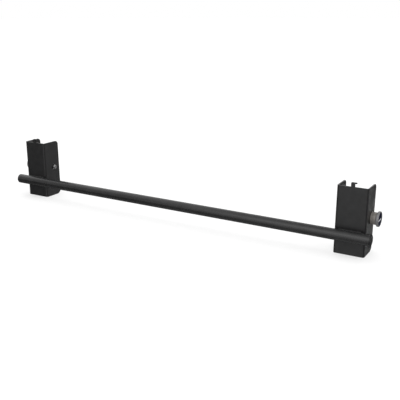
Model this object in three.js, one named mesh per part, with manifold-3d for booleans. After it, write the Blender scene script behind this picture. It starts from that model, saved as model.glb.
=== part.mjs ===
// Slip-on post crossbar: a round steel bar welded across two U-channel brackets. Each bracket
// slides over a square post and is locked to it by a pull-out pin with a magnetic knob.
//
// Millimetres. +X runs along the bar, +Y points from the bar into the open channels, +Z is up.
// The origin is at the bottom centre of the whole object.

import * as THREE from 'three';
import { mergeVertices } from 'three/addons/utils/BufferGeometryUtils.js';
import Module from 'manifold-3d';

const wasm = await Module();
wasm.setup();

// ---------------------------------------------------------------- driving dimensions

const INCH = 25.4;
const POST_SIZE = 3 * INCH; // square post that a bracket fits over
const POST_SPACING = 46 * INCH; // centre to centre of the two posts
const GAP = 0.3; // clearance kept between pieces that touch
const OVERCUT = 5; // how far a cutting tool runs past what it cuts

// U-channel bracket, bent from one plate; its web is at the front, its flanges run back.
const PLATE = 4;
const BRACKET_WIDTH = 89.5;
const BRACKET_DEPTH = 71.5;
const BRACKET_HEIGHT = 197.5;
const BEND_INSIDE_RADIUS = 2.5;
const TOP_CORNER_RADIUS = 13;
const BOTTOM_CORNER_RADIUS = 17;

// Hook tab that stands on the web's top edge, with an arm towards +X.
const TAB_HEIGHT = 12.8;
const TAB_HALF_STEM = 5.5;
const TAB_ARM_END = 11;
const TAB_ARM_THICKNESS = 3.8;
const TAB_CORNER_RADIUS = 3;
const TAB_ROOT = 5; // depth of the tab's stem inside the web

// Round bar.
const BAR_RADIUS = 16;
const BAR_WALL = 2;
const BAR_LENGTH = 1301.2; // over the end caps
const BAR_AXIS_Z = 60.5;

// Plastic end caps of the bar.
const CAP_EDGE = 2; // thickness of the head at its rim
const CAP_CROWN = 2.6; // thickness of the head at its centre
const CAP_PLUG_LENGTH = 18;
const CAP_PLUG_WALL = 2.4;
const CAP_RIBS = 2;
const CAP_RIB_PITCH = 6;
const CAP_RIB_DEPTH = 0.5;

// Fillet welds between the bar and the web.
const WELD_LENGTH = 68;
const WELD_WEB_REACH = 14.2; // furthest height of a bead on the web, from the bar's axis
const WELD_BAR_ANGLE = 46; // furthest point of a bead on the bar, degrees above the web's normal
const WELD_BULGE = 0.7;

// Plastic liners inside the channel.
const LINER = 2;
const LINER_BOTTOM = 18;
const LINER_TOP = 176;
const WEB_LINER_WIDTH = 66;
const SIDE_LINER_FRONT = 11;
const SIDE_LINER_BACK = 62;
const LINER_CORNER_RADIUS = 4;
const LINER_HOLE_RADIUS = 10.5;

// Locking pin. Its stations are distances outwards from the bracket's outer face.
const PIN_RADIUS = 7.95;
const PIN_HOLE_RADIUS = 8.75;
const PIN_Y = PLATE + GAP + LINER + POST_SIZE / 2; // middle of the post
const PIN_Z = 104.5;
const PIN_TIP_REACH = 7.5; // how far the tip stands out of the inner flange
const PIN_TIP_CHAMFER = 2.5;
const PIN_HEAD_END = 14.6;
const MAGNET_RADIUS = 13.3;
const MAGNET_THICKNESS = 4;
const CUP_RADIUS = 14.8;
const CUP_START = 0.6;
const CUP_FLOOR = 1.2; // thickness of the magnet cup's floor
const KNOB_START = 0.8;
const KNOB_RADIUS = 17.5;
const KNOB_EDGE = 0.6; // chamfer at the knob's base
const KNOB_FLARE_START = 13.2;
const KNOB_RIM_RADIUS = 21.8;
const KNOB_RIM_START = 18.4;
const KNOB_RIM_END = 23.4;
const KNOB_END = 24.6;
const KNOB_FACE_RADIUS = 20.7;
const BUTTON_RADIUS = 19.2;
const BUTTON_SEAT = 21.8;
const BUTTON_RIM = 24.4;
const BUTTON_CROWN = 26;
const SCREW_RADIUS = 3;
const SCREW_HOLE_RADIUS = 3.3;
const SCREW_TIP = 4.2;
const SCREW_CHAMFER = 0.5;
const SCREW_HOLE_END = 3.2;
const SCREW_HEAD_RADIUS = 5.5;
const SCREW_HEAD_START = 17.5;
const SCREW_HEAD_END = 20.6;
const SCREW_SOCKET = 2.3; // circumscribed radius of the hexagon socket
const SCREW_SOCKET_DEPTH = 2;
const SCREW_SEAT = 17.2; // floor of the counterbore that the screw's head sits on
const COUNTERBORE_RADIUS = 6.2;

// Number of straight steps in round stretches.
const ROUND_STEPS = 32;
const HOLE_STEPS = 24;
const ARC_STEPS = 5;
const DOME_STEPS = 3;

// Places worked out from the sizes above.
const WEB_FRONT_Y = (2 * BAR_RADIUS + GAP - BRACKET_DEPTH) / 2;
const SIDES = { left: -1, right: 1 };

// ---------------------------------------------------------------- materials

function material(color, roughness, metalness) {
  return new THREE.MeshStandardMaterial({ color, roughness, metalness });
}

const powderCoat = () => material(0x2b2b2c, 0.55, 0.0);
const barCoat = () => material(0x303031, 0.45, 0.0);
const linerPlastic = () => material(0x1a1a1a, 0.6, 0.0);
const capPlastic = () => material(0x151515, 0.5, 0.0);
const zincSteel = () => material(0xa8a9ab, 0.3, 1.0);
const warmAluminium = () => material(0x857c75, 0.4, 1.0);
const cupSteel = () => material(0x3a3836, 0.45, 0.7);
const magnetNickel = () => material(0x8d8f92, 0.25, 1.0);
const glossButton = () => material(0x14182a, 0.08, 0.0);

// ---------------------------------------------------------------- solids and shapes

// A closed geometry as a manifold solid.
function toSolid(geometry) {
  const bare = geometry.clone();
  bare.deleteAttribute('normal');
  bare.deleteAttribute('uv');
  const merged = mergeVertices(bare);
  const vertProperties = new Float32Array(merged.attributes.position.array);
  const triVerts = new Uint32Array(merged.index.array);
  return new wasm.Manifold(new wasm.Mesh({ numProp: 3, vertProperties, triVerts }));
}

// A manifold solid as a three.js geometry.
function toGeometry(solid) {
  const mesh = solid.getMesh();
  const geometry = new THREE.BufferGeometry();
  geometry.setAttribute('position', new THREE.BufferAttribute(mesh.vertProperties, 3));
  geometry.setIndex(new THREE.BufferAttribute(mesh.triVerts, 1));
  geometry.computeVertexNormals();
  return geometry;
}

function extrude(shape, depth) {
  return new THREE.ExtrudeGeometry(shape, { depth, bevelEnabled: false, curveSegments: ARC_STEPS });
}

// A shape drawn in the YZ plane, extruded along +X.
function extrudeAlongX(shape, length) {
  const axes = new THREE.Matrix4().makeBasis(
    new THREE.Vector3(0, 1, 0),
    new THREE.Vector3(0, 0, 1),
    new THREE.Vector3(1, 0, 0)
  );
  return extrude(shape, length).applyMatrix4(axes);
}

// A shape drawn in the XZ plane, extruded along +Y from 0 to depth.
function extrudeAlongY(shape, depth) {
  return extrude(shape, depth).rotateX(Math.PI / 2).translate(0, depth, 0);
}

// A rectangle whose four corners can each be rounded, with the radii given counter-clockwise
// from the lower left corner. A radius of 0 leaves that corner sharp.
function roundedRectangle(left, bottom, right, top, radii) {
  const corners = [
    { x: left, y: bottom, from: Math.PI, inX: 1, inY: 1 },
    { x: right, y: bottom, from: 1.5 * Math.PI, inX: -1, inY: 1 },
    { x: right, y: top, from: 0, inX: -1, inY: -1 },
    { x: left, y: top, from: 0.5 * Math.PI, inX: 1, inY: -1 },
  ];
  const shape = new THREE.Shape();
  corners.forEach((corner, index) => {
    const radius = radii[index];
    const centreX = corner.x + corner.inX * radius;
    const centreY = corner.y + corner.inY * radius;
    const startX = centreX + radius * Math.cos(corner.from);
    const startY = centreY + radius * Math.sin(corner.from);
    if (index === 0) {
      shape.moveTo(startX, startY);
    } else {
      shape.lineTo(startX, startY);
    }
    if (radius > 0) {
      shape.absarc(centreX, centreY, radius, corner.from, corner.from + Math.PI / 2, false);
    }
  });
  shape.closePath();
  return shape;
}

// A solid of revolution about the Y axis from [radius, station] pairs, listed upwards on the
// outside. The profile either starts and ends on the axis or is closed here.
function revolve(profile, steps = ROUND_STEPS) {
  const points = profile.map(([radius, station]) => new THREE.Vector2(radius, station));
  const onAxis = points[0].x === 0 && points[points.length - 1].x === 0;
  if (!onAxis) {
    points.push(points[0].clone());
  }
  return new THREE.LatheGeometry(points, steps);
}

// Points of a shallow dome from its rim to the axis, for the end of a revolved profile.
function domePoints(radius, rimStation, crownStation) {
  return Array.from({ length: DOME_STEPS + 1 }, (_, index) => {
    const share = 1 - index / DOME_STEPS;
    return [radius * share, crownStation - (crownStation - rimStation) * share * share];
  });
}

// A named mesh inside a parent group.
function addMesh(parent, name, geometry, meshMaterial) {
  const mesh = new THREE.Mesh(geometry, meshMaterial);
  mesh.name = name;
  parent.add(mesh);
  return mesh;
}

// ---------------------------------------------------------------- bracket

// U-shaped outline seen from above, open towards +Y, with rounded bends.
function channelOutline() {
  const half = BRACKET_WIDTH / 2;
  const outerRadius = BEND_INSIDE_RADIUS + PLATE;
  const bendX = half - outerRadius;
  const shape = new THREE.Shape();
  shape.moveTo(-half, BRACKET_DEPTH);
  shape.lineTo(-half, outerRadius);
  shape.absarc(-bendX, outerRadius, outerRadius, Math.PI, 1.5 * Math.PI, false);
  shape.lineTo(bendX, 0);
  shape.absarc(bendX, outerRadius, outerRadius, 1.5 * Math.PI, 2 * Math.PI, false);
  shape.lineTo(half, BRACKET_DEPTH);
  shape.lineTo(half - PLATE, BRACKET_DEPTH);
  shape.lineTo(half - PLATE, outerRadius);
  shape.absarc(bendX, outerRadius, BEND_INSIDE_RADIUS, 0, -0.5 * Math.PI, true);
  shape.lineTo(-bendX, PLATE);
  shape.absarc(-bendX, outerRadius, BEND_INSIDE_RADIUS, 1.5 * Math.PI, Math.PI, true);
  shape.lineTo(-half + PLATE, BRACKET_DEPTH);
  shape.closePath();
  return shape;
}

// Side outline of the bracket, with the flanges' rounded back corners.
function flangeOutline() {
  const radii = [0, BOTTOM_CORNER_RADIUS, TOP_CORNER_RADIUS, 0];
  return roundedRectangle(-OVERCUT, 0, BRACKET_DEPTH, BRACKET_HEIGHT, radii);
}

function hookTabOutline() {
  const top = BRACKET_HEIGHT + TAB_HEIGHT;
  const armUnderside = top - TAB_ARM_THICKNESS;
  const root = BRACKET_HEIGHT - TAB_ROOT;
  const cornerX = -TAB_HALF_STEM + TAB_CORNER_RADIUS;
  const cornerZ = top - TAB_CORNER_RADIUS;
  const shape = new THREE.Shape();
  shape.moveTo(-TAB_HALF_STEM, root);
  shape.lineTo(TAB_HALF_STEM, root);
  shape.lineTo(TAB_HALF_STEM, armUnderside);
  shape.lineTo(TAB_ARM_END, armUnderside);
  shape.lineTo(TAB_ARM_END, top);
  shape.lineTo(cornerX, top);
  shape.absarc(cornerX, cornerZ, TAB_CORNER_RADIUS, 0.5 * Math.PI, Math.PI, false);
  shape.closePath();
  return shape;
}

// The whole bracket, with its web's front face in the plane y = 0.
function bracketGeometry() {
  const width = BRACKET_WIDTH + 2 * OVERCUT;
  const channel = toSolid(extrude(channelOutline(), BRACKET_HEIGHT));
  const sideBlock = toSolid(extrudeAlongX(flangeOutline(), width).translate(-width / 2, 0, 0));
  const tab = toSolid(extrudeAlongY(hookTabOutline(), PLATE));
  const drill = new THREE.CylinderGeometry(PIN_HOLE_RADIUS, PIN_HOLE_RADIUS, width, HOLE_STEPS);
  const pinHoles = toSolid(drill.rotateZ(Math.PI / 2).translate(0, PIN_Y, PIN_Z));
  return toGeometry(channel.intersect(sideBlock).add(tab).subtract(pinHoles));
}

// ---------------------------------------------------------------- liners

// Flat plate against the back of the web.
function webLinerGeometry() {
  const half = WEB_LINER_WIDTH / 2;
  const radii = Array(4).fill(LINER_CORNER_RADIUS);
  const outline = roundedRectangle(-half, LINER_BOTTOM, half, LINER_TOP, radii);
  return extrudeAlongY(outline, LINER).translate(0, PLATE + GAP, 0);
}

// Flat plate against the inside of one flange, with a clearance hole for the pin.
function sideLinerGeometry(direction) {
  const radii = Array(4).fill(LINER_CORNER_RADIUS);
  const outline = roundedRectangle(SIDE_LINER_FRONT, LINER_BOTTOM, SIDE_LINER_BACK, LINER_TOP, radii);
  const hole = new THREE.Path();
  hole.absarc(PIN_Y, PIN_Z, LINER_HOLE_RADIUS, 0, 2 * Math.PI, true);
  outline.holes.push(hole);
  const outerFace = BRACKET_WIDTH / 2 - PLATE - GAP;
  const start = direction > 0 ? outerFace - LINER : -outerFace;
  return extrudeAlongX(outline, LINER).translate(start, 0, 0);
}

// ---------------------------------------------------------------- bar, caps and welds

function tubeGeometry() {
  const half = BAR_LENGTH / 2 - CAP_CROWN - GAP;
  const inner = BAR_RADIUS - BAR_WALL;
  const profile = [
    [inner, -half],
    [BAR_RADIUS, -half],
    [BAR_RADIUS, half],
    [inner, half],
  ];
  return revolve(profile).rotateZ(-Math.PI / 2);
}

// Push-in cap: a domed head against the tube's end and a ribbed hollow plug inside it.
// Stations run outwards from the underside of the head.
function endCapGeometry() {
  const plugRadius = BAR_RADIUS - BAR_WALL - GAP;
  const plugInner = plugRadius - CAP_PLUG_WALL;
  const profile = [
    [0, 0],
    [plugInner, 0],
    [plugInner, -CAP_PLUG_LENGTH],
    [plugRadius - CAP_RIB_DEPTH, -CAP_PLUG_LENGTH],
  ];
  for (let rib = 0; rib < CAP_RIBS; rib += 1) {
    const station = -CAP_PLUG_LENGTH + (rib + 0.5) * CAP_RIB_PITCH;
    profile.push([plugRadius, station]);
    profile.push([plugRadius - CAP_RIB_DEPTH, station + CAP_RIB_PITCH / 2]);
  }
  profile.push([plugRadius - CAP_RIB_DEPTH, 0], [BAR_RADIUS, 0]);
  return revolve([...profile, ...domePoints(BAR_RADIUS, CAP_EDGE, CAP_CROWN)]);
}

// Fillet bead in the upper (direction 1) or lower (-1) wedge between bar and web. Its section
// is drawn in the YZ plane about the bar's axis.
function weldGeometry(direction) {
  const seatRadius = BAR_RADIUS + GAP;
  const webFace = BAR_RADIUS;
  const rootAngle = Math.acos(webFace / seatRadius);
  const barAngle = THREE.MathUtils.degToRad(WELD_BAR_ANGLE);
  const barY = seatRadius * Math.cos(barAngle);
  const barZ = seatRadius * Math.sin(barAngle);
  const middleY = (barY + webFace) / 2 - WELD_BULGE;
  const middleZ = (barZ + WELD_WEB_REACH) / 2 + WELD_BULGE;
  const section = new THREE.Path();
  section.moveTo(webFace, WELD_WEB_REACH);
  section.quadraticCurveTo(middleY, middleZ, barY, barZ);
  section.absarc(0, 0, seatRadius, barAngle, rootAngle, true);
  const points = section.getPoints(ARC_STEPS).map(({ x, y }) => new THREE.Vector2(x, direction * y));
  return extrudeAlongX(new THREE.Shape(points), WELD_LENGTH).translate(-WELD_LENGTH / 2, 0, 0);
}

// ---------------------------------------------------------------- locking pin

// The pin's pieces are revolved about the Y axis, with +Y pointing outwards from the bracket
// and station 0 on the bracket's outer face.

function shankGeometry() {
  const tip = -(BRACKET_WIDTH + PIN_TIP_REACH);
  return revolve([
    [0, tip],
    [PIN_RADIUS - PIN_TIP_CHAMFER, tip],
    [PIN_RADIUS, tip + PIN_TIP_CHAMFER],
    [PIN_RADIUS, PIN_HEAD_END],
    [SCREW_HOLE_RADIUS, PIN_HEAD_END],
    [SCREW_HOLE_RADIUS, SCREW_HOLE_END],
    [0, SCREW_HOLE_END],
  ], HOLE_STEPS);
}

// Ring magnet that meets the bracket.
function magnetGeometry() {
  const bore = PIN_RADIUS + 2 * GAP;
  return revolve([
    [bore, GAP],
    [MAGNET_RADIUS, GAP],
    [MAGNET_RADIUS, GAP + MAGNET_THICKNESS],
    [bore, GAP + MAGNET_THICKNESS],
  ], HOLE_STEPS);
}

// Steel cup around the magnet, open towards the bracket, sunk into the knob's base.
function magnetCupGeometry() {
  const bore = PIN_RADIUS + GAP;
  const recess = MAGNET_RADIUS + GAP;
  const floor = MAGNET_THICKNESS + 2 * GAP;
  return revolve([
    [bore, floor],
    [recess, floor],
    [recess, CUP_START],
    [CUP_RADIUS, CUP_START],
    [CUP_RADIUS, floor + CUP_FLOOR],
    [bore, floor + CUP_FLOOR],
  ], HOLE_STEPS);
}

// Barrel that flares to a mushroom rim, with a recess for the magnet cup and a socket for the
// shank in its base, and a counterbore for the screw and a recess for the button in its face.
function knobGeometry() {
  const bore = PIN_RADIUS + GAP;
  const recess = CUP_RADIUS + GAP;
  const recessEnd = MAGNET_THICKNESS + CUP_FLOOR + 3 * GAP;
  const rise = KNOB_RIM_RADIUS - KNOB_RADIUS;
  const run = KNOB_RIM_START - KNOB_FLARE_START;
  const flare = Array.from({ length: ARC_STEPS + 1 }, (_, index) => {
    const angle = (index / ARC_STEPS) * Math.PI / 2;
    return [KNOB_RADIUS + rise * (1 - Math.cos(angle)), KNOB_FLARE_START + run * Math.sin(angle)];
  });
  return revolve([
    [bore, recessEnd],
    [recess, recessEnd],
    [recess, KNOB_START],
    [KNOB_RADIUS - KNOB_EDGE, KNOB_START],
    [KNOB_RADIUS, KNOB_START + KNOB_EDGE],
    ...flare,
    [KNOB_RIM_RADIUS, KNOB_RIM_END],
    [KNOB_FACE_RADIUS, KNOB_END],
    [BUTTON_RADIUS + GAP, KNOB_END],
    [BUTTON_RADIUS + GAP, BUTTON_SEAT - GAP],
    [COUNTERBORE_RADIUS, BUTTON_SEAT - GAP],
    [COUNTERBORE_RADIUS, SCREW_SEAT],
    [SCREW_HOLE_RADIUS, SCREW_SEAT],
    [SCREW_HOLE_RADIUS, PIN_HEAD_END + GAP],
    [bore, PIN_HEAD_END + GAP],
  ]);
}

function buttonGeometry() {
  return revolve([
    [0, BUTTON_SEAT],
    [BUTTON_RADIUS, BUTTON_SEAT],
    ...domePoints(BUTTON_RADIUS, BUTTON_RIM, BUTTON_CROWN),
  ]);
}

function screwGeometry() {
  const body = toSolid(revolve([
    [0, SCREW_TIP],
    [SCREW_RADIUS - SCREW_CHAMFER, SCREW_TIP],
    [SCREW_RADIUS, SCREW_TIP + SCREW_CHAMFER],
    [SCREW_RADIUS, SCREW_HEAD_START],
    [SCREW_HEAD_RADIUS, SCREW_HEAD_START],
    [SCREW_HEAD_RADIUS, SCREW_HEAD_END],
    [0, SCREW_HEAD_END],
  ], HOLE_STEPS));
  const length = 2 * SCREW_SOCKET_DEPTH;
  const hexagon = new THREE.CylinderGeometry(SCREW_SOCKET, SCREW_SOCKET, length, 6);
  return toGeometry(body.subtract(toSolid(hexagon.translate(0, SCREW_HEAD_END, 0))));
}

// ---------------------------------------------------------------- assembly

function addCrossbar(parent) {
  const bar = new THREE.Group();
  bar.position.set(0, WEB_FRONT_Y - GAP - BAR_RADIUS, BAR_AXIS_Z);
  addMesh(bar, 'crossbar_tube', tubeGeometry(), barCoat());
  for (const [side, sign] of Object.entries(SIDES)) {
    const cap = addMesh(bar, `${side}_end_cap`, endCapGeometry(), capPlastic());
    cap.position.x = sign * (BAR_LENGTH / 2 - CAP_CROWN);
    cap.rotation.z = -sign * Math.PI / 2;
  }
  parent.add(bar);
}

function addBracket(parent, side, sign) {
  const bracket = new THREE.Group();
  bracket.position.set(sign * POST_SPACING / 2, WEB_FRONT_Y, 0);
  addMesh(bracket, `${side}_bracket`, bracketGeometry(), powderCoat());
  addMesh(bracket, `${side}_web_liner`, webLinerGeometry(), linerPlastic());
  addMesh(bracket, `${side}_outer_liner`, sideLinerGeometry(sign), linerPlastic());
  addMesh(bracket, `${side}_inner_liner`, sideLinerGeometry(-sign), linerPlastic());
  for (const [place, direction] of [['upper', 1], ['lower', -1]]) {
    const weld = addMesh(bracket, `${side}_${place}_weld`, weldGeometry(direction), powderCoat());
    weld.position.set(0, -GAP - BAR_RADIUS, BAR_AXIS_Z);
  }
  parent.add(bracket);
}

function addPin(parent, side, sign) {
  const pin = new THREE.Group();
  const outerFace = POST_SPACING / 2 + BRACKET_WIDTH / 2;
  pin.position.set(sign * outerFace, WEB_FRONT_Y + PIN_Y, PIN_Z);
  pin.rotation.z = -sign * Math.PI / 2;
  addMesh(pin, `${side}_pin_shank`, shankGeometry(), zincSteel());
  addMesh(pin, `${side}_pin_magnet`, magnetGeometry(), magnetNickel());
  addMesh(pin, `${side}_pin_magnet_cup`, magnetCupGeometry(), cupSteel());
  addMesh(pin, `${side}_pin_knob`, knobGeometry(), warmAluminium());
  addMesh(pin, `${side}_pin_button`, buttonGeometry(), glossButton());
  addMesh(pin, `${side}_pin_screw`, screwGeometry(), zincSteel());
  parent.add(pin);
}

const group = new THREE.Group();
addCrossbar(group);
for (const [side, sign] of Object.entries(SIDES)) {
  addBracket(group, side, sign);
  addPin(group, side, sign);
}

export default group;
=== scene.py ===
import math

import bmesh
import bpy
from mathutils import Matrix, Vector


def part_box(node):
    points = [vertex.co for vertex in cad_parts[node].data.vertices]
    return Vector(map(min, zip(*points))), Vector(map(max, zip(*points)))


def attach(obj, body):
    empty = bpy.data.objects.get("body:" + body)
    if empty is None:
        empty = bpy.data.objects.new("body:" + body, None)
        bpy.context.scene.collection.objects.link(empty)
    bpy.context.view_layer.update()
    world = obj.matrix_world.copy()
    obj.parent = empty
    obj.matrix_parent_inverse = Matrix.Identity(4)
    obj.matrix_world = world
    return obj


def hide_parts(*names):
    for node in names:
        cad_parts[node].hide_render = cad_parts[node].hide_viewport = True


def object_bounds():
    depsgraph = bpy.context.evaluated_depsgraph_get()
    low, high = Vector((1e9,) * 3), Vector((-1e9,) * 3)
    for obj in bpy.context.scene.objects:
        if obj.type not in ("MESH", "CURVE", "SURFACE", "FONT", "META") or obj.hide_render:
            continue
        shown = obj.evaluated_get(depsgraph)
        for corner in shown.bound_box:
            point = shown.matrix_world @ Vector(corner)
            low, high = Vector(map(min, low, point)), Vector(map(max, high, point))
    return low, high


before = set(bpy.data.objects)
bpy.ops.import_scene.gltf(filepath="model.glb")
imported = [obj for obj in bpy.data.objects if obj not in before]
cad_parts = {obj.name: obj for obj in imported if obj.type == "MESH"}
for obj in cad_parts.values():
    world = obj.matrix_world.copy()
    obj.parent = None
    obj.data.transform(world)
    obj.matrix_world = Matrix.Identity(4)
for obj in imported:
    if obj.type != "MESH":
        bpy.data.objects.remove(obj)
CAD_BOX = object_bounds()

# A slip-on post crossbar: a round bar welded across two U-channel brackets, each with a pull-out
# pin. Lengths are in metres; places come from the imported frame's boxes.

MM = 0.001
SIDES = {"left": -1, "right": 1}
GAP = 0.3 * MM  # between pieces that touch
TINY = 1e-7  # lengths below this count as nothing
ROUND_STEPS = 96
PROFILE_STEPS = 4  # in a rounded corner of a turned profile
OUTLINE_STEPS = 8  # in a rounded corner of a plate's outline

# Bar and end caps; a cap's stations run outwards from the bar's end.
BAR_STEPS = 128
BAR_WALL = 2 * MM
BAR_EDGE = 0.5 * MM
BAR_INNER_EDGE = 0.3 * MM
CAP_HEAD = 2.6 * MM
CAP_RIM = 2.2 * MM  # thickness of the head at its rim
CAP_RIM_ROUND = 1.5 * MM
CAP_RING_SHARES = (0.62, 0.58, 0.54)  # radii of the ring in the head, as shares of the bar's
CAP_RING_EDGE = 2.5 * MM  # stations of the ring's edges and of its floor
CAP_RING_FLOOR = 2.2 * MM
CAP_PLUG_INSET = 2.3 * MM  # from the bar's surface to the plug's ribs
CAP_PLUG_WALL = 2.4 * MM
CAP_RIBS = 4
CAP_RIB_DEPTH = 0.5 * MM
CAP_RIB_START = 2 * MM
CAP_RIB_PITCH = 3.6 * MM
CAP_RIB_TOP = 1.6 * MM  # from a rib's start to its top and to its end
CAP_RIB_END = 1.9 * MM

# Bracket plate
PLATE = 4 * MM
BEND_RADIUS = 6.5 * MM  # outside of the bend
BEND_STEPS = 12
TOP_CORNER = 13 * MM
BOTTOM_CORNER = 17 * MM
FLANGE_CORNER_STEPS = 16
PIN_HOLE_RADIUS = 8.75 * MM
PIN_HOLE_STEPS = 32  # in half of the hole
TAB_HEIGHT = 12.8 * MM
TAB_HALF_STEM = 5.5 * MM
TAB_ARM_END = 11 * MM
TAB_ARM = 3.8 * MM
TAB_CORNER = 3 * MM
CUT_CORNER = 0.8 * MM  # small radius that a laser cut leaves
EDGE_ROUND = 0.45 * MM  # softened edge of a coated plate

# Liners
LINER_CORNER = 4 * MM
LINER_HOLE_RADIUS = 10.5 * MM
LINER_HOLE_STEPS = 24  # in half of the hole
LINER_EDGE = 0.3 * MM

# Weld beads; heights and angles are measured from the bar's axis.
WELD_LENGTH = 70 * MM
WELD_STEPS = 180
WELD_SECTION_STEPS = 10
WELD_WEB_REACH = 13.6 * MM
WELD_WEB_START = 4 * MM
WELD_BAR_ANGLE = math.radians(44)
WELD_BAR_START = math.radians(14)
WELD_BULGE = 0.8 * MM
WELD_TAPER = 5 * MM  # length over which each end swells to the full bead
WELD_END_SHARE = math.sqrt(0.03)  # share of the full bead that is left at its ends
WELD_RIPPLE = 2.6 * MM
WELD_RIPPLE_DEPTH = 0.35 * MM
WELD_RIPPLE_ON_WEB = 0.6  # share of a ripple's depth that spreads up the web
WELD_CLEARANCE = 0.02 * MM  # between the bar's surface and the bead's edge
WELD_BACK = (-0.8 * MM, 2.4 * MM)  # the bead's hidden corner: y from the web, and height
WELD_SMOOTH_ANGLE = math.radians(60)

# Pin pieces; places along a pin are distances outwards from the bracket's outer face.
TIP_CHAMFER = 2.5 * MM
SCREW_HOLE_RADIUS = 3.3 * MM
SCREW_HOLE_FLOOR = 3.2 * MM
SCREW_RADIUS = 3 * MM
SCREW_POINT = 0.5 * MM
SCREW_HEAD = 3.1 * MM
SCREW_SOCKET = 2.2 * MM
SCREW_SOCKET_DEPTH = 2 * MM
SCREW_STEPS = 48
KNOB_BARREL = 17.5 * MM
KNOB_EDGE = 0.6 * MM
KNOB_FLARE_START = 13.2 * MM
KNOB_FLARE_END = 18.4 * MM
KNOB_RIM_END = 23.4 * MM
KNOB_FACE_RADIUS = 20.7 * MM
KNOB_FACE_EDGE = 0.4 * MM
COUNTERBORE_RADIUS = 6.2 * MM
GROOVE = (10.4 * MM, 11.9 * MM)  # start and end of the groove below the flare
GROOVE_DEPTH = 0.45 * MM
GROOVE_SLOPE = 0.3 * MM
GROOVE_CORNER = 0.15 * MM
GRIP = (3.2 * MM, 9.4 * MM)  # start and end of the fine grip lines on the barrel
GRIP_LINES = 11
GRIP_DEPTH = 0.2 * MM
GRIP_LAND = 0.55  # share of a line's pitch that is full barrel
DOME_STEPS = 12
BUTTON_RIM_DROP = 0.2 * MM  # how far the button's rim lies below the knob's face
BUTTON_CORNER = 0.4 * MM

# Colours, each as its darkest and lightest tone
COAT = ((0.012, 0.012, 0.0122), (0.018, 0.018, 0.0185))
SHEET = ((0.012, 0.012, 0.013), (0.028, 0.028, 0.029))
MOULDING = ((0.008, 0.008, 0.008), (0.016, 0.016, 0.017))
ZINC = ((0.33, 0.33, 0.34), (0.4, 0.4, 0.4))
ALUMINIUM = ((0.275, 0.255, 0.239), (0.332, 0.308, 0.289))
CUP_STEEL = ((0.04, 0.037, 0.034), (0.06, 0.055, 0.05))
NICKEL = ((0.4, 0.4, 0.4), (0.5, 0.5, 0.49))
BLUE_BLACK = ((0.006, 0.007, 0.018), (0.012, 0.014, 0.032))
FLARE_TONE = (0.25, 0.245, 0.252)  # the knob's flare is cooler than its barrel
FLARE_FADE = (KNOB_BARREL + 0.1 * MM, KNOB_BARREL + 1.3 * MM)  # radii between which it turns
PLATE_ROUGHNESS = 0.33
TUBE_ROUGHNESS = 0.26
COAT_GLOSS_SWING = 0.05  # how far the roughness strays either way
METAL_GLOSS_SWING = 0.06

# Camera; its angles, like the surroundings', are in degrees: azimuth 0 is straight in front of the
# webs and 90 is along +X.
CAMERA_AIM = Vector((59.35, 58.23, 60.5)) * MM
CAMERA_DISTANCE = 2087.5 * MM
CAMERA_AZIMUTH = 30.479
CAMERA_ELEVATION = 16.747
CAMERA_LENS = 57.607
CAMERA_REACH = 200

# Floor, backdrop and lamp
FLOOR_HALF = 40
FLOOR_TONE = 0.37
FLOOR_UNEVENNESS = 0.005
FLOOR_GLOW = 0.63
BACKDROP_RADIUS = 0.95 * FLOOR_HALF
OVERHEAD_FROM = (0, 0.22, 1)  # broad light from above, a little from behind
OVERHEAD_POWER = 1.2
OVERHEAD_SPREAD = math.radians(75)

# Surroundings: white above the horizon and dark below it, with soft cards that add or take light
# and shape the gloss. A card is (azimuth, elevation, inner angle, outer angle, amount).
SURROUND_WHITE = 1.05
SURROUND_DARK = 0.05
HORIZON = (-0.05, -0.02)  # heights of a direction between which dark turns white
CARDS = (
    (0, -14, 8, 34, 0.58),
    (-55, 14, 14, 38, -0.6),
    (62, 0, 16, 36, -0.85),
    (-10, 36, 8, 24, 0.85),
    (24, 33, 4, 12, 2.5),
    (126, -12, 12, 28, 0.45),
    (150, 16, 14, 34, -0.9),
    (0, -90, 20, 60, 0.22),
    (180, 80, 10, 30, -0.6),
)
STRIP_ENDS = ((150, -18.4), (165, -17.2))  # thin low strip behind the right end
STRIP_HALF_HEIGHT = 0.3
STRIP_EDGE = (0.6, 1.4)  # shares of its half height between which the strip fades
STRIP_SPREAD = 8.5
STRIP_CORE = 0.8  # share of its spread at which the strip starts to fade
STRIP_LIGHT = 5


# ---------------------------------------------------------------- outlines and meshes

def rounded(corners, closed=True, steps=6):
    """Points of a path given by (x, y, radius) corners, with arcs at the corners."""
    path = []
    last = len(corners) - 1
    for index, (x, y, radius) in enumerate(corners):
        here = Vector((x, y))
        if radius == 0 or (not closed and index in (0, last)):
            path.append(here)
            continue
        before = (Vector(corners[index - 1][:2]) - here).normalized()
        after = (Vector(corners[(index + 1) % len(corners)][:2]) - here).normalized()
        half = before.angle(after) / 2
        centre = here + (before + after).normalized() * (radius / math.sin(half))
        arm = here + before * (radius / math.tan(half)) - centre
        end = here + after * (radius / math.tan(half)) - centre
        sweep = math.atan2(arm.x * end.y - arm.y * end.x, arm.dot(end))
        for step in range(steps + 1):
            angle = sweep * step / steps
            turned = (
                arm.x * math.cos(angle) - arm.y * math.sin(angle),
                arm.x * math.sin(angle) + arm.y * math.cos(angle),
            )
            path.append(centre + Vector(turned))
    return path


def arc(centre, radius, start, end, steps):
    """Points on an arc, angles in radians, both ends included."""
    return [
        centre + radius * Vector((math.cos(a), math.sin(a)))
        for a in (start + (end - start) * i / steps for i in range(steps + 1))
    ]


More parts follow.
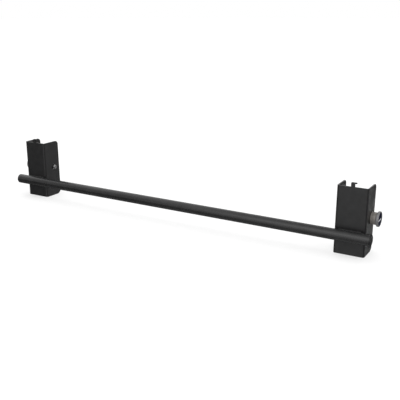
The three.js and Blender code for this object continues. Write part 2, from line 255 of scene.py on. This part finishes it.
def split_around(outline, centre, radius, steps):
    """The two loops, above and below, that fill an outline around a round hole. Each half of the
    hole has the given steps."""
    left = min(p.x for p in outline)
    right = max(p.x for p in outline)
    loops = []
    for sign in (1, -1):
        rim = arc(centre, radius, math.pi, math.pi * (1 - sign), steps)
        beyond = [p for p in outline if (p.y - centre.y) * sign > TINY]
        beyond.sort(key=lambda p: math.atan2((p.y - centre.y) * sign, p.x - centre.x))
        loops.append([Vector((left, centre.y)), *rim, Vector((right, centre.y)), *beyond])
    return loops


def add_face(bm, points, outward):
    """A face through the points, turned so that its normal points outward."""
    face = bm.faces.new([bm.verts.new(p) for p in points])
    face.normal_update()
    if face.normal.dot(Vector(outward)) < 0:
        face.normal_flip()


def prism(loops, thickness, place):
    """A bmesh plate from the loops of its outline: place(u, v, w) puts point (u, v) at depth w."""
    bm = bmesh.new()
    for loop in loops:
        bm.faces.new([bm.verts.new(place(p.x, p.y, 0)) for p in loop])
    bmesh.ops.remove_doubles(bm, verts=bm.verts, dist=TINY)
    grown = bmesh.ops.extrude_face_region(bm, geom=list(bm.faces))
    moved = [v for v in grown["geom"] if isinstance(v, bmesh.types.BMVert)]
    shift = Vector(place(0, 0, thickness)) - Vector(place(0, 0, 0))
    bmesh.ops.translate(bm, verts=moved, vec=shift)
    bmesh.ops.recalc_face_normals(bm, faces=bm.faces)
    return bm


def revolved(profile, place, sign, steps=ROUND_STEPS):
    """A bmesh of (radius, station) points turned about an axis along X. Stations run from place
    towards sign times +X. A profile that doesn't start and end on the axis is closed."""
    bm = bmesh.new()
    rings = []
    for radius, station in profile:
        x = place.x + sign * station
        if radius < TINY:
            rings.append([bm.verts.new((x, place.y, place.z))])
            continue
        ring = []
        for step in range(steps):
            angle = 2 * math.pi * step / steps
            y = place.y + radius * math.cos(angle)
            z = place.z + radius * math.sin(angle)
            ring.append(bm.verts.new((x, y, z)))
        rings.append(ring)
    pairs = list(zip(rings, rings[1:]))
    if len(rings[0]) > 1:
        pairs.append((rings[-1], rings[0]))
    for low, high in pairs:
        for step in range(steps):
            after = (step + 1) % steps
            if len(low) == 1:
                corners = [low[0], high[step], high[after]]
            elif len(high) == 1:
                corners = [low[step], high[0], low[after]]
            else:
                corners = [low[step], high[step], high[after], low[after]]
            bm.faces.new(corners)
    bmesh.ops.recalc_face_normals(bm, faces=bm.faces)
    return bm


def make_object(name, bm, material, smooth_angle=math.radians(35)):
    """A scene object from a bmesh, smooth except across edges sharper than smooth_angle."""
    for face in bm.faces:
        face.smooth = True
    for edge in bm.edges:
        edge.smooth = len(edge.link_faces) == 2 and edge.calc_face_angle(0) < smooth_angle
    mesh = bpy.data.meshes.new(name)
    bm.to_mesh(mesh)
    bm.free()
    mesh.materials.append(material)
    piece = bpy.data.objects.new(name, mesh)
    bpy.context.scene.collection.objects.link(piece)
    return piece


def round_edges(piece, width, segments=3, angle=math.radians(50)):
    """Bevel on the sharp edges, with normals that keep the flat faces flat."""
    bevel = piece.modifiers.new("edges", "BEVEL")
    bevel.width = width
    bevel.segments = segments
    bevel.limit_method = "ANGLE"
    bevel.angle_limit = angle
    bevel.miter_outer = "MITER_ARC"
    normals = piece.modifiers.new("normals", "WEIGHTED_NORMAL")
    normals.keep_sharp = True
    normals.weight = 100


def install(piece, body, node):
    """The piece stands for its CAD node: it rides on a body, and the CAD node is hidden."""
    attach(piece, body)
    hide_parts(node)


# ---------------------------------------------------------------- materials

class Paint:
    """A Principled material and short calls for the nodes that feed it."""

    def __init__(self, name, colour, roughness, metallic=0.0, specular=0.5):
        self.material = bpy.data.materials.new(name)
        self.material.use_nodes = True
        self.tree = self.material.node_tree
        self.shader = self.tree.nodes["Principled BSDF"]
        self.shader.inputs["Base Color"].default_value = (*colour, 1)
        self.shader.inputs["Roughness"].default_value = roughness
        self.shader.inputs["Metallic"].default_value = metallic
        self.shader.inputs["Specular IOR Level"].default_value = specular
        self.source = self.node("ShaderNodeTexCoord")
        self.place = self.source.outputs["Object"]
        self.normal = None

    def node(self, kind, **inputs):
        made = self.tree.nodes.new(kind)
        for key, value in inputs.items():
            self.feed(made.inputs[key.replace("_", " ")], value)
        return made

    def feed(self, socket, value):
        if isinstance(value, bpy.types.NodeSocket):
            self.tree.links.new(value, socket)
        else:
            socket.default_value = value

    def glow(self, strength):
        """White light of the surface's own."""
        self.shader.inputs["Emission Color"].default_value = (1, 1, 1, 1)
        self.shader.inputs["Emission Strength"].default_value = strength

    def vector(self, operation, first, second=(0, 0, 0)):
        made = self.node("ShaderNodeVectorMath")
        made.operation = operation
        self.feed(made.inputs[0], first)
        self.feed(made.inputs[1], second)
        return made.outputs

    def noise(self, scale, detail=2.0, vector=None):
        made = self.node("ShaderNodeTexNoise", Scale=scale, Detail=detail)
        self.feed(made.inputs["Vector"], vector or self.place)
        return made.outputs["Fac"]

    def spread(self, value, low, high, start=0.3, end=0.7):
        """value from start to end, as low to high."""
        made = self.node("ShaderNodeMapRange", Value=value, From_Min=start, From_Max=end)
        self.feed(made.inputs["To Min"], low)
        self.feed(made.inputs["To Max"], high)
        return made.outputs["Result"]

    def swing(self, value, middle, reach):
        """A number that strays from its middle, up to reach either way, by value."""
        return self.spread(value, middle - reach, middle + reach)

    def tint(self, value, tones, start=0.3, end=0.7):
        """A colour between two tones by value."""
        ramp = self.node("ShaderNodeValToRGB", Fac=value)
        for element, tone, position in zip(ramp.color_ramp.elements, tones, (start, end)):
            element.color = (*tone, 1)
            element.position = position
        return ramp.outputs["Color"]

    def blend(self, share, first, second):
        """The first colour turning into the second as share goes from 0 to 1."""
        made = self.node("ShaderNodeMix")
        made.data_type = "RGBA"
        sockets = {socket.identifier: socket for socket in (*made.inputs, *made.outputs)}
        self.feed(sockets["Factor_Float"], share)
        self.feed(sockets["A_Color"], first)
        self.feed(sockets["B_Color"], second)
        return sockets["Result_Color"]

    def bump(self, height, depth, strength):
        """Relief over any relief already there."""
        made = self.node("ShaderNodeBump", Height=height, Distance=depth, Strength=strength)
        if self.normal:
            self.tree.links.new(self.normal, made.inputs["Normal"])
        self.normal = made.outputs["Normal"]

    def finish(self, colour=None, roughness=None):
        if colour:
            self.feed(self.shader.inputs["Base Color"], colour)
        if roughness:
            self.feed(self.shader.inputs["Roughness"], roughness)
        if self.normal:
            self.tree.links.new(self.normal, self.shader.inputs["Normal"])
        return self.material


def powder_coat(name, roughness):
    """Satin black powder coat: fine grain over a faint orange peel, in a slightly uneven black."""
    paint = Paint(name, COAT[1], roughness)
    paint.bump(paint.noise(420, detail=1.5), depth=0.1 * MM, strength=0.5)
    paint.bump(paint.noise(1900, detail=3), depth=0.06 * MM, strength=0.7)
    colour = paint.tint(paint.noise(55, detail=4), COAT)
    gloss = paint.swing(paint.noise(130, detail=3), roughness, COAT_GLOSS_SWING)
    return paint.finish(colour, gloss)


def sheet_plastic(name):
    """Waxy black sheet plastic with faint rub marks along the post."""
    paint = Paint(name, SHEET[1], 0.45, specular=0.4)
    stretched = paint.node("ShaderNodeMapping", Vector=paint.place, Scale=(1, 1, 0.06))
    rubs = paint.noise(900, detail=3, vector=stretched.outputs["Vector"])
    paint.bump(rubs, depth=0.03 * MM, strength=0.5)
    return paint.finish(paint.tint(rubs, SHEET), paint.spread(rubs, low=0.36, high=0.52))


def moulded_plastic(name):
    """Black moulding with a spark-eroded grain, matt on its ends and glossier round its rim."""
    paint = Paint(name, MOULDING[1], 0.45, specular=0.4)
    grain = paint.node("ShaderNodeTexVoronoi", Scale=1500.0, Vector=paint.place)
    paint.bump(grain.outputs["Distance"], depth=0.03 * MM, strength=0.6)
    facing = paint.vector("ABSOLUTE", paint.source.outputs["Normal"])["Vector"]
    endways = paint.node("ShaderNodeSeparateXYZ", Vector=facing).outputs["X"]
    matt = paint.spread(paint.noise(300), low=0.4, high=0.5)
    gloss = paint.spread(endways, low=0.2, high=matt, start=0.8, end=0.97)
    return paint.finish(paint.tint(paint.noise(160, detail=3), MOULDING), gloss)


def turned_metal(name, axis, tones, roughness, metallic=1.0, flare_tone=None):
    """Metal turned on a lathe: fine rings about an axis along X, through the point axis. With a
    flare tone, the colour turns into it outside the knob's barrel."""
    paint = Paint(name, tones[1], roughness, metallic=metallic)
    offset = paint.vector("SUBTRACT", paint.place, (0, axis.y, axis.z))["Vector"]
    across = paint.vector("MULTIPLY", offset, (0, 1, 1))["Vector"]
    radius = paint.vector("LENGTH", across)["Value"]
    along = paint.node("ShaderNodeSeparateXYZ", Vector=paint.place).outputs["X"]
    rings = paint.node("ShaderNodeCombineXYZ", X=along, Y=radius).outputs["Vector"]
    tool_marks = paint.noise(2600, vector=rings)
    paint.bump(tool_marks, depth=0.04 * MM, strength=0.5)
    colour = paint.tint(paint.noise(90, detail=4), tones)
    if flare_tone:
        share = paint.spread(radius, 0.0, 1.0, *FLARE_FADE)
        colour = paint.blend(share, colour, (*flare_tone, 1))
    return paint.finish(colour, paint.swing(tool_marks, roughness, METAL_GLOSS_SWING))


def gloss_button(name):
    """Glossy blue-black dome with a faint moulding ripple."""
    paint = Paint(name, BLUE_BLACK[1], 0.05, specular=0.9)
    paint.bump(paint.noise(140, detail=1), depth=0.05 * MM, strength=0.25)
    colour = paint.tint(paint.noise(220), BLUE_BLACK)
    return paint.finish(colour, paint.spread(paint.noise(500), low=0.03, high=0.06))


def studio_floor(name):
    """Pale floor that glows a little, so that the shadows on it stay faint."""
    tones = [(FLOOR_TONE + side * FLOOR_UNEVENNESS,) * 3 for side in (-1, 1)]
    paint = Paint(name, tones[1], 0.9, specular=0.0)
    paint.glow(FLOOR_GLOW)
    return paint.finish(paint.tint(paint.noise(0.8), tones))


# ---------------------------------------------------------------- bar and caps

def build_bar(material):
    """The tube, open at its ends. Returns its middle and its radius."""
    low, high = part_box("crossbar_tube")
    middle = (low + high) / 2
    radius = (high.z - low.z) / 2
    inner = radius - BAR_WALL
    half = (high.x - low.x) / 2
    profile = rounded([
        (inner, -half, BAR_INNER_EDGE),
        (radius, -half, BAR_EDGE),
        (radius, half, BAR_EDGE),
        (inner, half, BAR_INNER_EDGE),
    ], steps=PROFILE_STEPS)
    bm = revolved(profile, middle, 1, BAR_STEPS)
    piece = make_object("crossbar_tube_coated", bm, material)
    install(piece, "crossbar", "crossbar_tube")
    return middle, radius


def end_cap_profile(radius, length):
    """Domed head with a soft rim and a shallow ring, over a hollow plug with ribs."""
    plug = radius - CAP_PLUG_INSET
    waist = plug - CAP_RIB_DEPTH
    bore = plug - CAP_PLUG_WALL
    plug_end = CAP_HEAD - length
    profile = [
        (0, 0, 0),
        (bore, 0, 0.8 * MM),
        (bore, plug_end, 0.3 * MM),
        (waist, plug_end, 0.4 * MM),
    ]
    for rib in range(CAP_RIBS):
        station = plug_end + CAP_RIB_START + rib * CAP_RIB_PITCH
        profile += [
            (waist, station, 0),
            (plug, station + CAP_RIB_TOP, 0.1 * MM),
            (waist, station + CAP_RIB_END, 0),
        ]
    ring_outside, ring_floor, ring_inside = (share * radius for share in CAP_RING_SHARES)
    return profile + [
        (waist, 0, 0),
        (radius, 0, 0.2 * MM),
        (radius, CAP_RIM, CAP_RIM_ROUND),
        (ring_outside, CAP_RING_EDGE, 0.4 * MM),
        (ring_floor, CAP_RING_FLOOR, 0.2 * MM),
        (ring_inside, CAP_RING_EDGE, 0.4 * MM),
        (0, CAP_HEAD, 0),
    ]


def build_end_cap(side, sign, middle, radius, material):
    node = f"{side}_end_cap"
    low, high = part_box(node)
    crown = high.x if sign > 0 else low.x
    base = Vector((crown - sign * CAP_HEAD, middle.y, middle.z))
    profile = rounded(end_cap_profile(radius, high.x - low.x), closed=False, steps=PROFILE_STEPS)
    bm = revolved(profile, base, sign)
    piece = make_object(f"{node}_moulded", bm, material)
    install(piece, "crossbar", node)


# ---------------------------------------------------------------- brackets

class BracketFrame:
    """Where one bracket is, from its CAD box and its pin's. Its y and the pin's are measured from
    the web's front face."""

    def __init__(self, side):
        low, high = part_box(f"{side}_bracket")
        pin_low, pin_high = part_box(f"{side}_pin_shank")
        self.x = (low.x + high.x) / 2
        self.half = (high.x - low.x) / 2
        self.web_y = low.y
        self.depth = high.y - low.y
        self.height = high.z - TAB_HEIGHT
        self.pin_y = (pin_low.y + pin_high.y) / 2 - self.web_y
        self.pin_z = (pin_low.z + pin_high.z) / 2

    def point(self, x, y, z):
        return (self.x + x, self.web_y + y, z)


def flange_loops(at):
    """The flange's outline in (y, z), split above and below the pin hole."""
    outline = rounded([
        (BEND_RADIUS, 0, 0),
        (at.depth, 0, BOTTOM_CORNER),
        (at.depth, at.height, TOP_CORNER),
        (BEND_RADIUS, at.height, 0),
    ], steps=FLANGE_CORNER_STEPS)
    return split_around(outline, Vector((at.pin_y, at.pin_z)), PIN_HOLE_RADIUS, PIN_HOLE_STEPS)


def web_outline(at):
    """The web's outline in (x, z), with the hook tab on its top edge."""
    edge = at.half - BEND_RADIUS
    top = at.height + TAB_HEIGHT
    corners = [
        (-edge, 0, 0),
        (edge, 0, 0),
        (edge, at.pin_z, 0),
        (edge, at.height, 0),
        (TAB_HALF_STEM, at.height, CUT_CORNER),
        (TAB_HALF_STEM, top - TAB_ARM, CUT_CORNER),
        (TAB_ARM_END, top - TAB_ARM, CUT_CORNER),
        (TAB_ARM_END, top, CUT_CORNER),
        (-TAB_HALF_STEM, top, TAB_CORNER),
        (-TAB_HALF_STEM, at.height, CUT_CORNER),
        (-edge, at.height, 0),
        (-edge, at.pin_z, 0),
    ]
    return rounded(corners, steps=OUTLINE_STEPS)


def add_bend(bm, at, sign):
    """The quarter bend between the web and one flange, divided at the pin's height."""
    levels = (0, at.pin_z, at.height)
    centre = Vector((at.half - BEND_RADIUS, BEND_RADIUS))
    bend = arc(centre, BEND_RADIUS, 0, -math.pi / 2, BEND_STEPS)
    for a, b in zip(bend, bend[1:]):
        for low, high in zip(levels, levels[1:]):
            corners = [(a, low), (b, low), (b, high), (a, high)]
            points = [at.point(sign * p.x, p.y, z) for p, z in corners]
            add_face(bm, points, (sign, -1, 0))


def build_bracket(side, at, material):
    """Outer skin of the bent plate, thickened inwards, with softened edges."""
    bm = bmesh.new()
    add_face(bm, [at.point(p.x, 0, p.y) for p in web_outline(at)], (0, -1, 0))
    for sign in (-1, 1):
        for loop in flange_loops(at):
            add_face(bm, [at.point(sign * at.half, p.x, p.y) for p in loop], (sign, 0, 0))
        add_bend(bm, at, sign)
    bmesh.ops.remove_doubles(bm, verts=bm.verts, dist=TINY)
    piece = make_object(f"{side}_bracket_plate", bm, material)
    skin = piece.modifiers.new("plate", "SOLIDIFY")
    skin.thickness = PLATE
    skin.offset = -1
    skin.use_even_offset = True
    round_edges(piece, EDGE_ROUND)
    install(piece, "crossbar", f"{side}_bracket")


def build_liner(side, part, at, material):
    """Flat plate with rounded corners; the flange liners have a hole for the pin."""
    node = f"{side}_{part}_liner"
    low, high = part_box(node)
    on_web = part == "web"
    start, end = (low.x, high.x) if on_web else (low.y, high.y)
    corners = [(start, low.z), (end, low.z), (end, high.z), (start, high.z)]
    outline = rounded([(u, v, LINER_CORNER) for u, v in corners], steps=OUTLINE_STEPS)
    if on_web:
        loops = [outline]
        thickness = high.y - low.y
    else:
        pin = Vector((at.web_y + at.pin_y, at.pin_z))
        loops = split_around(outline, pin, LINER_HOLE_RADIUS, LINER_HOLE_STEPS)
        thickness = high.x - low.x

    def place(u, v, w):
        return (u, low.y + w, v) if on_web else (low.x + w, u, v)

    piece = make_object(f"{node}_sheet", prism(loops, thickness, place), material)
    round_edges(piece, LINER_EDGE, segments=2)
    install(piece, "crossbar", node)


def weld_section(share, x, web, radius):
    """The bead's outline in (y, z) from the bar's axis, at a share of its length and at x."""
    taper = min(1, min(share, 1 - share) * WELD_LENGTH / WELD_TAPER)
    swell = max(WELD_END_SHARE, math.sqrt(1 - (1 - taper) ** 2))
    ripple = WELD_RIPPLE_DEPTH * (1 - (x / WELD_RIPPLE) % 1) ** 2
    web_z = WELD_WEB_START + (WELD_WEB_REACH - WELD_WEB_START) * swell
    bar_angle = WELD_BAR_START + (WELD_BAR_ANGLE - WELD_BAR_START) * swell
    start = Vector((web, web_z + ripple * WELD_RIPPLE_ON_WEB))
    end = Vector((math.cos(bar_angle), math.sin(bar_angle))) * (radius + WELD_CLEARANCE)
    outward = Vector((end.y - start.y, start.x - end.x)).normalized()
    section = []
    for step in range(WELD_SECTION_STEPS + 1):
        part = step / WELD_SECTION_STEPS
        lift = math.sin(math.pi * part) * (WELD_BULGE * swell + ripple)
        section.append(start.lerp(end, part) + outward * lift)
    section.append(Vector((web + WELD_BACK[0], WELD_BACK[1])))
    return section


def build_weld(side, name, direction_z, at, bar, radius, material):
    """Fillet bead with overlapping ripples, tapered at both ends."""
    node = f"{side}_{name}_weld"
    bm = bmesh.new()
    rings = []
    for step in range(WELD_STEPS + 1):
        share = step / WELD_STEPS
        x = at.x + (share - 0.5) * WELD_LENGTH
        section = weld_section(share, x, at.web_y - bar.y, radius)
        rings.append([bm.verts.new((x, bar.y + p.x, bar.z + direction_z * p.y)) for p in section])
    for a, b in zip(rings, rings[1:]):
        for k in range(len(a)):
            after = (k + 1) % len(a)
            bm.faces.new([a[k], b[k], b[after], a[after]])
    bm.faces.new(rings[0])
    bm.faces.new(rings[-1])
    bmesh.ops.recalc_face_normals(bm, faces=bm.faces)
    piece = make_object(f"{node}_bead", bm, material, WELD_SMOOTH_ANGLE)
    install(piece, "crossbar", node)


# ---------------------------------------------------------------- pins

def barrel_profile():
    """The knob's side from its base to its flare: grip lines and a groove."""
    profile = []
    pitch = (GRIP[1] - GRIP[0]) / GRIP_LINES
    for line in range(GRIP_LINES):
        station = GRIP[0] + line * pitch
        profile.append((KNOB_BARREL, station, 0))
        profile.append((KNOB_BARREL, station + GRIP_LAND * pitch, 0))
        profile.append((KNOB_BARREL - GRIP_DEPTH, station + (1 + GRIP_LAND) / 2 * pitch, 0))
    return profile + [
        (KNOB_BARREL, GRIP[1], 0),
        (KNOB_BARREL, GROOVE[0], GROOVE_CORNER),
        (KNOB_BARREL - GROOVE_DEPTH, GROOVE[0] + GROOVE_SLOPE, GROOVE_CORNER),
        (KNOB_BARREL - GROOVE_DEPTH, GROOVE[1] - GROOVE_SLOPE, GROOVE_CORNER),
        (KNOB_BARREL, GROOVE[1], GROOVE_CORNER),
    ]


def flare_profile(rim_radius):
    """Quarter of an ellipse from the barrel out to just before the rim."""
    points = []
    for step in range(DOME_STEPS):
        turn = step / DOME_STEPS * math.pi / 2
        radius = KNOB_BARREL + (rim_radius - KNOB_BARREL) * (1 - math.cos(turn))
        station = KNOB_FLARE_START + (KNOB_FLARE_END - KNOB_FLARE_START) * math.sin(turn)
        points.append((radius, station, 0))
    return points


def dome_profile(radius, rim, crown):
    """Shallow dome from its rim, which has a soft corner, to the axis."""
    points = []
    for step in range(DOME_STEPS + 1):
        share = 1 - step / DOME_STEPS
        corner = BUTTON_CORNER if step == 0 else 0
        points.append((radius * share, crown - (crown - rim) * share ** 2, corner))
    return points


def pin_finishes(side, axis):
    """The materials of one pin's pieces, the turned ones with rings about its axis."""
    return {
        "zinc": turned_metal(f"{side}_zinc", axis, ZINC, 0.25),
        "knob": turned_metal(f"{side}_knob", axis, ALUMINIUM, 0.55, 0.6, flare_tone=FLARE_TONE),
        "cup": turned_metal(f"{side}_cup", axis, CUP_STEEL, 0.5),
        "magnet": turned_metal(f"{side}_magnet", axis, NICKEL, 0.2),
        "button": gloss_button(f"{side}_button"),
    }


class Pin:
    """One pin. Each piece is turned from a profile of (radius, station, corner radius), between
    its CAD piece's ends; stations are distances outwards from the bracket's outer face."""

    def __init__(self, side, sign, at):
        self.side = side
        self.sign = sign
        self.face = Vector((at.x + sign * at.half, at.web_y + at.pin_y, at.pin_z))
        self.finishes = pin_finishes(side, self.face)
        self.tip, self.head, self.radius = self.span("shank")
        self.bore = self.radius + GAP
        self.magnet_start, self.magnet_end, self.magnet_radius = self.span("magnet")
        self.cup_start, self.cup_end, self.cup_radius = self.span("magnet_cup")
        self.start, self.end, self.rim_radius = self.span("knob")
        self.seat, self.crown, self.button_radius = self.span("button")
        self.screw_tip, self.screw_end, self.screw_radius = self.span("screw")
        self.shelf = self.screw_end - SCREW_HEAD - GAP  # what the screw's head rests on

    def span(self, part):
        """Where a CAD piece starts and ends along the pin, and its radius."""
        low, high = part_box(f"{self.side}_pin_{part}")
        start, end = sorted(self.sign * (x - self.face.x) for x in (low.x, high.x))
        return start, end, (high.z - low.z) / 2

    def add(self, part, profile, finish, slot, closed=True, steps=ROUND_STEPS):
        bm = revolved(rounded(profile, closed, PROFILE_STEPS), self.face, self.sign, steps)
        piece = make_object(f"{self.side}_pin_{part}_turned", bm, self.finishes[finish])
        install(piece, f"{self.side}_pin", f"{self.side}_pin_{part}")

    def build_shank(self):
        self.add("shank", [
            (0, self.tip, 0),
            (self.radius - TIP_CHAMFER, self.tip, 0.6 * MM),
            (self.radius, self.tip + TIP_CHAMFER, 1.2 * MM),
            (self.radius, self.head, 0.2 * MM),
            (SCREW_HOLE_RADIUS, self.head, 0.1 * MM),
            (SCREW_HOLE_RADIUS, SCREW_HOLE_FLOOR, 0),
            (0, SCREW_HOLE_FLOOR, 0),
        ], "zinc", "zinc_steel", closed=False)

    def build_magnet(self):
        hole = self.bore + GAP
        self.add("magnet", [
            (hole, self.magnet_start, 0.3 * MM),
            (self.magnet_radius, self.magnet_start, 0.4 * MM),
            (self.magnet_radius, self.magnet_end, 0.4 * MM),
            (hole, self.magnet_end, 0.3 * MM),
        ], "magnet", "magnet_nickel")

    def build_cup(self):
        self.add("magnet_cup", [
            (self.bore, self.magnet_end + GAP, 0),
            (self.magnet_radius + GAP, self.magnet_end + GAP, 0.2 * MM),
            (self.magnet_radius + GAP, self.cup_start, 0.2 * MM),
            (self.cup_radius, self.cup_start, 0.4 * MM),
            (self.cup_radius, self.cup_end, 0.4 * MM),
            (self.bore, self.cup_end, 0.2 * MM),
        ], "cup", "cup_steel")

    def build_knob(self):
        """Grip, flare and face, with pockets for the cup, the shank, the screw and the button."""
        self.add("knob", [
            (self.bore, self.cup_end + GAP, 0),
            (self.cup_radius + GAP, self.cup_end + GAP, 0.2 * MM),
            (self.cup_radius + GAP, self.start, 0.3 * MM),
            (KNOB_BARREL, self.start, KNOB_EDGE),
            *barrel_profile(),
            *flare_profile(self.rim_radius),
            (self.rim_radius, KNOB_FLARE_END, 0.2 * MM),
            (self.rim_radius, KNOB_RIM_END, 0.5 * MM),
            (KNOB_FACE_RADIUS, self.end, KNOB_FACE_EDGE),
            (self.button_radius + GAP, self.end, 0.2 * MM),
            (self.button_radius + GAP, self.seat - GAP, 0.1 * MM),
            (COUNTERBORE_RADIUS, self.seat - GAP, 0.2 * MM),
            (COUNTERBORE_RADIUS, self.shelf, 0.1 * MM),
            (SCREW_HOLE_RADIUS, self.shelf, 0.1 * MM),
            (SCREW_HOLE_RADIUS, self.head + GAP, 0.1 * MM),
            (self.bore, self.head + GAP, 0),
        ], "knob", "knob_aluminium", steps=2 * ROUND_STEPS)

    def build_button(self):
        self.add("button", [
            (0, self.seat, 0),
            (self.button_radius, self.seat, 0.3 * MM),
            *dome_profile(self.button_radius, self.end - BUTTON_RIM_DROP, self.crown),
        ], "button", "button_gloss", closed=False)

    def build_screw(self):
        """Cylinder-head screw with a socket that narrows to a shallow point."""
        socket_floor = self.screw_end - SCREW_SOCKET_DEPTH
        self.add("screw", [
            (0, self.screw_tip, 0),
            (SCREW_RADIUS - SCREW_POINT, self.screw_tip, 0.1 * MM),
            (SCREW_RADIUS, self.screw_tip + SCREW_POINT, 0.1 * MM),
            (SCREW_RADIUS, self.shelf + GAP, 0.1 * MM),
            (self.screw_radius, self.shelf + GAP, 0.2 * MM),
            (self.screw_radius, self.screw_end, 0.5 * MM),
            (SCREW_SOCKET, self.screw_end, 0.1 * MM),
            (SCREW_SOCKET, socket_floor, 0),
            (0, socket_floor - GAP, 0),
        ], "zinc", "zinc_steel", closed=False, steps=SCREW_STEPS)

    def build(self):
        self.build_shank()
        self.build_magnet()
        self.build_cup()
        self.build_knob()
        self.build_button()
        self.build_screw()


# ---------------------------------------------------------------- studio

def direction(azimuth, elevation):
    """Unit vector towards an azimuth and elevation in degrees."""
    turn = math.radians(azimuth)
    rise = math.radians(elevation)
    return Vector((
        math.sin(turn) * math.cos(rise),
        -math.cos(turn) * math.cos(rise),
        math.sin(rise),
    ))


def build_camera():
    data = bpy.data.cameras.new("camera")
    data.lens = CAMERA_LENS
    data.clip_end = CAMERA_REACH
    camera = bpy.data.objects.new("camera", data)
    back = direction(CAMERA_AZIMUTH, CAMERA_ELEVATION)
    camera.location = CAMERA_AIM + back * CAMERA_DISTANCE
    camera.rotation_mode = "QUATERNION"
    camera.rotation_quaternion = (-back).to_track_quat("-Z", "Y")
    bpy.context.scene.collection.objects.link(camera)
    bpy.context.scene.camera = camera


def build_floor():
    bm = bmesh.new()
    bmesh.ops.create_grid(bm, x_segments=8, y_segments=8, size=FLOOR_HALF)
    floor = make_object("studio_floor", bm, studio_floor("floor_white"))
    floor.location.z = CAD_BOX[0].z
    floor.visible_glossy = False


def build_backdrop():
    """White dome around the set. Only the camera sees it: the surroundings light the object."""
    bm = bmesh.new()
    bmesh.ops.create_uvsphere(bm, u_segments=64, v_segments=32, radius=BACKDROP_RADIUS)
    paint = Paint("backdrop_white", (0, 0, 0), 1.0, specular=0.0)
    paint.glow(1.0)
    dome = make_object("studio_backdrop", bm, paint.finish())
    for ray in ("diffuse", "glossy", "transmission", "volume_scatter", "shadow"):
        setattr(dome, f"visible_{ray}", False)


def build_lamp():
    """Broad overhead lamp, left out of reflections."""
    light = bpy.data.lights.new("overhead", "SUN")
    light.energy = OVERHEAD_POWER
    light.angle = OVERHEAD_SPREAD
    lamp = bpy.data.objects.new("overhead", light)
    lamp.rotation_mode = "QUATERNION"
    lamp.rotation_quaternion = Vector(OVERHEAD_FROM).to_track_quat("Z", "Y")
    lamp.visible_glossy = False
    bpy.context.scene.collection.objects.link(lamp)


class Surroundings:
    """The world's strength, built up from soft areas of directions."""

    def __init__(self):
        world = bpy.data.worlds.new("studio")
        world.use_nodes = True
        self.nodes = world.node_tree.nodes
        self.links = world.node_tree.links
        self.towards = self.nodes.new("ShaderNodeTexCoord").outputs["Generated"]
        background = self.nodes["Background"]
        background.inputs["Color"].default_value = (1, 1, 1, 1)
        self.strength = background.inputs["Strength"]
        bpy.context.scene.world = world

    def combine(self, operation, first, second):
        made = self.nodes.new("ShaderNodeMath")
        made.operation = operation
        for socket, value in zip(made.inputs, (first, second)):
            if isinstance(value, bpy.types.NodeSocket):
                self.links.new(value, socket)
            else:
                socket.default_value = value
        return made.outputs["Value"]

    def dot(self, vector):
        """Cosine of the angle between the direction and a unit vector."""
        made = self.nodes.new("ShaderNodeVectorMath")
        made.operation = "DOT_PRODUCT"
        self.links.new(self.towards, made.inputs[0])
        made.inputs[1].default_value = vector
        return made.outputs["Value"]

    def ramp(self, value, start, end, low=0.0, high=1.0):
        """value from start to end, as low to high, with soft ends."""
        made = self.nodes.new("ShaderNodeMapRange")
        made.interpolation_type = "SMOOTHSTEP"
        self.links.new(value, made.inputs["Value"])
        limits = {"From Min": start, "From Max": end, "To Min": low, "To Max": high}
        for key, number in limits.items():
            made.inputs[key].default_value = number
        return made.outputs["Result"]

    def card(self, azimuth, elevation, inner, outer, amount):
        """A round card, full within its inner angle and fading to nothing at its outer one."""
        edge = math.cos(math.radians(outer))
        core = math.cos(math.radians(inner))
        return self.ramp(self.dot(direction(azimuth, elevation)), edge, core, 0.0, amount)

    def strip(self):
        """A thin strip along the great circle through STRIP_ENDS."""
        first, last = (direction(*end) for end in STRIP_ENDS)
        off_line = self.combine("ABSOLUTE", self.dot(first.cross(last).normalized()), 0.0)
        half = math.sin(math.radians(STRIP_HALF_HEIGHT))
        line = self.ramp(off_line, STRIP_EDGE[0] * half, STRIP_EDGE[1] * half, STRIP_LIGHT, 0.0)
        edge = math.cos(math.radians(STRIP_SPREAD))
        core = math.cos(math.radians(STRIP_CORE * STRIP_SPREAD))
        length = self.ramp(self.dot((first + last).normalized()), edge, core)
        return self.combine("MULTIPLY", line, length)


def build_world():
    world = Surroundings()
    level = world.ramp(world.dot((0, 0, 1)), *HORIZON, SURROUND_DARK, SURROUND_WHITE)
    for card in CARDS:
        level = world.combine("ADD", level, world.card(*card))
    level = world.combine("ADD", world.combine("MAXIMUM", level, 0.0), world.strip())
    world.links.new(level, world.strength)


def build_studio():
    build_camera()
    build_world()
    build_lamp()
    build_floor()
    build_backdrop()
    bpy.context.scene.view_settings.view_transform = "Standard"


# ---------------------------------------------------------------- assembly

def build_crossbar():
    """Every piece of the object."""
    plate_coat = powder_coat("plate_coat", PLATE_ROUGHNESS)
    tube_coat = powder_coat("tube_coat", TUBE_ROUGHNESS)
    cap_plastic = moulded_plastic("cap_plastic")
    liner_plastic = sheet_plastic("liner_plastic")
    bar, radius = build_bar(tube_coat)
    for side, sign in SIDES.items():
        at = BracketFrame(side)
        build_end_cap(side, sign, bar, radius, cap_plastic)
        build_bracket(side, at, plate_coat)
        for part in ("web", "outer", "inner"):
            build_liner(side, part, at, liner_plastic)
        build_weld(side, "upper", 1, at, bar, radius, plate_coat)
        build_weld(side, "lower", -1, at, bar, radius, plate_coat)
        Pin(side, sign, at).build()


build_studio()
build_crossbar()
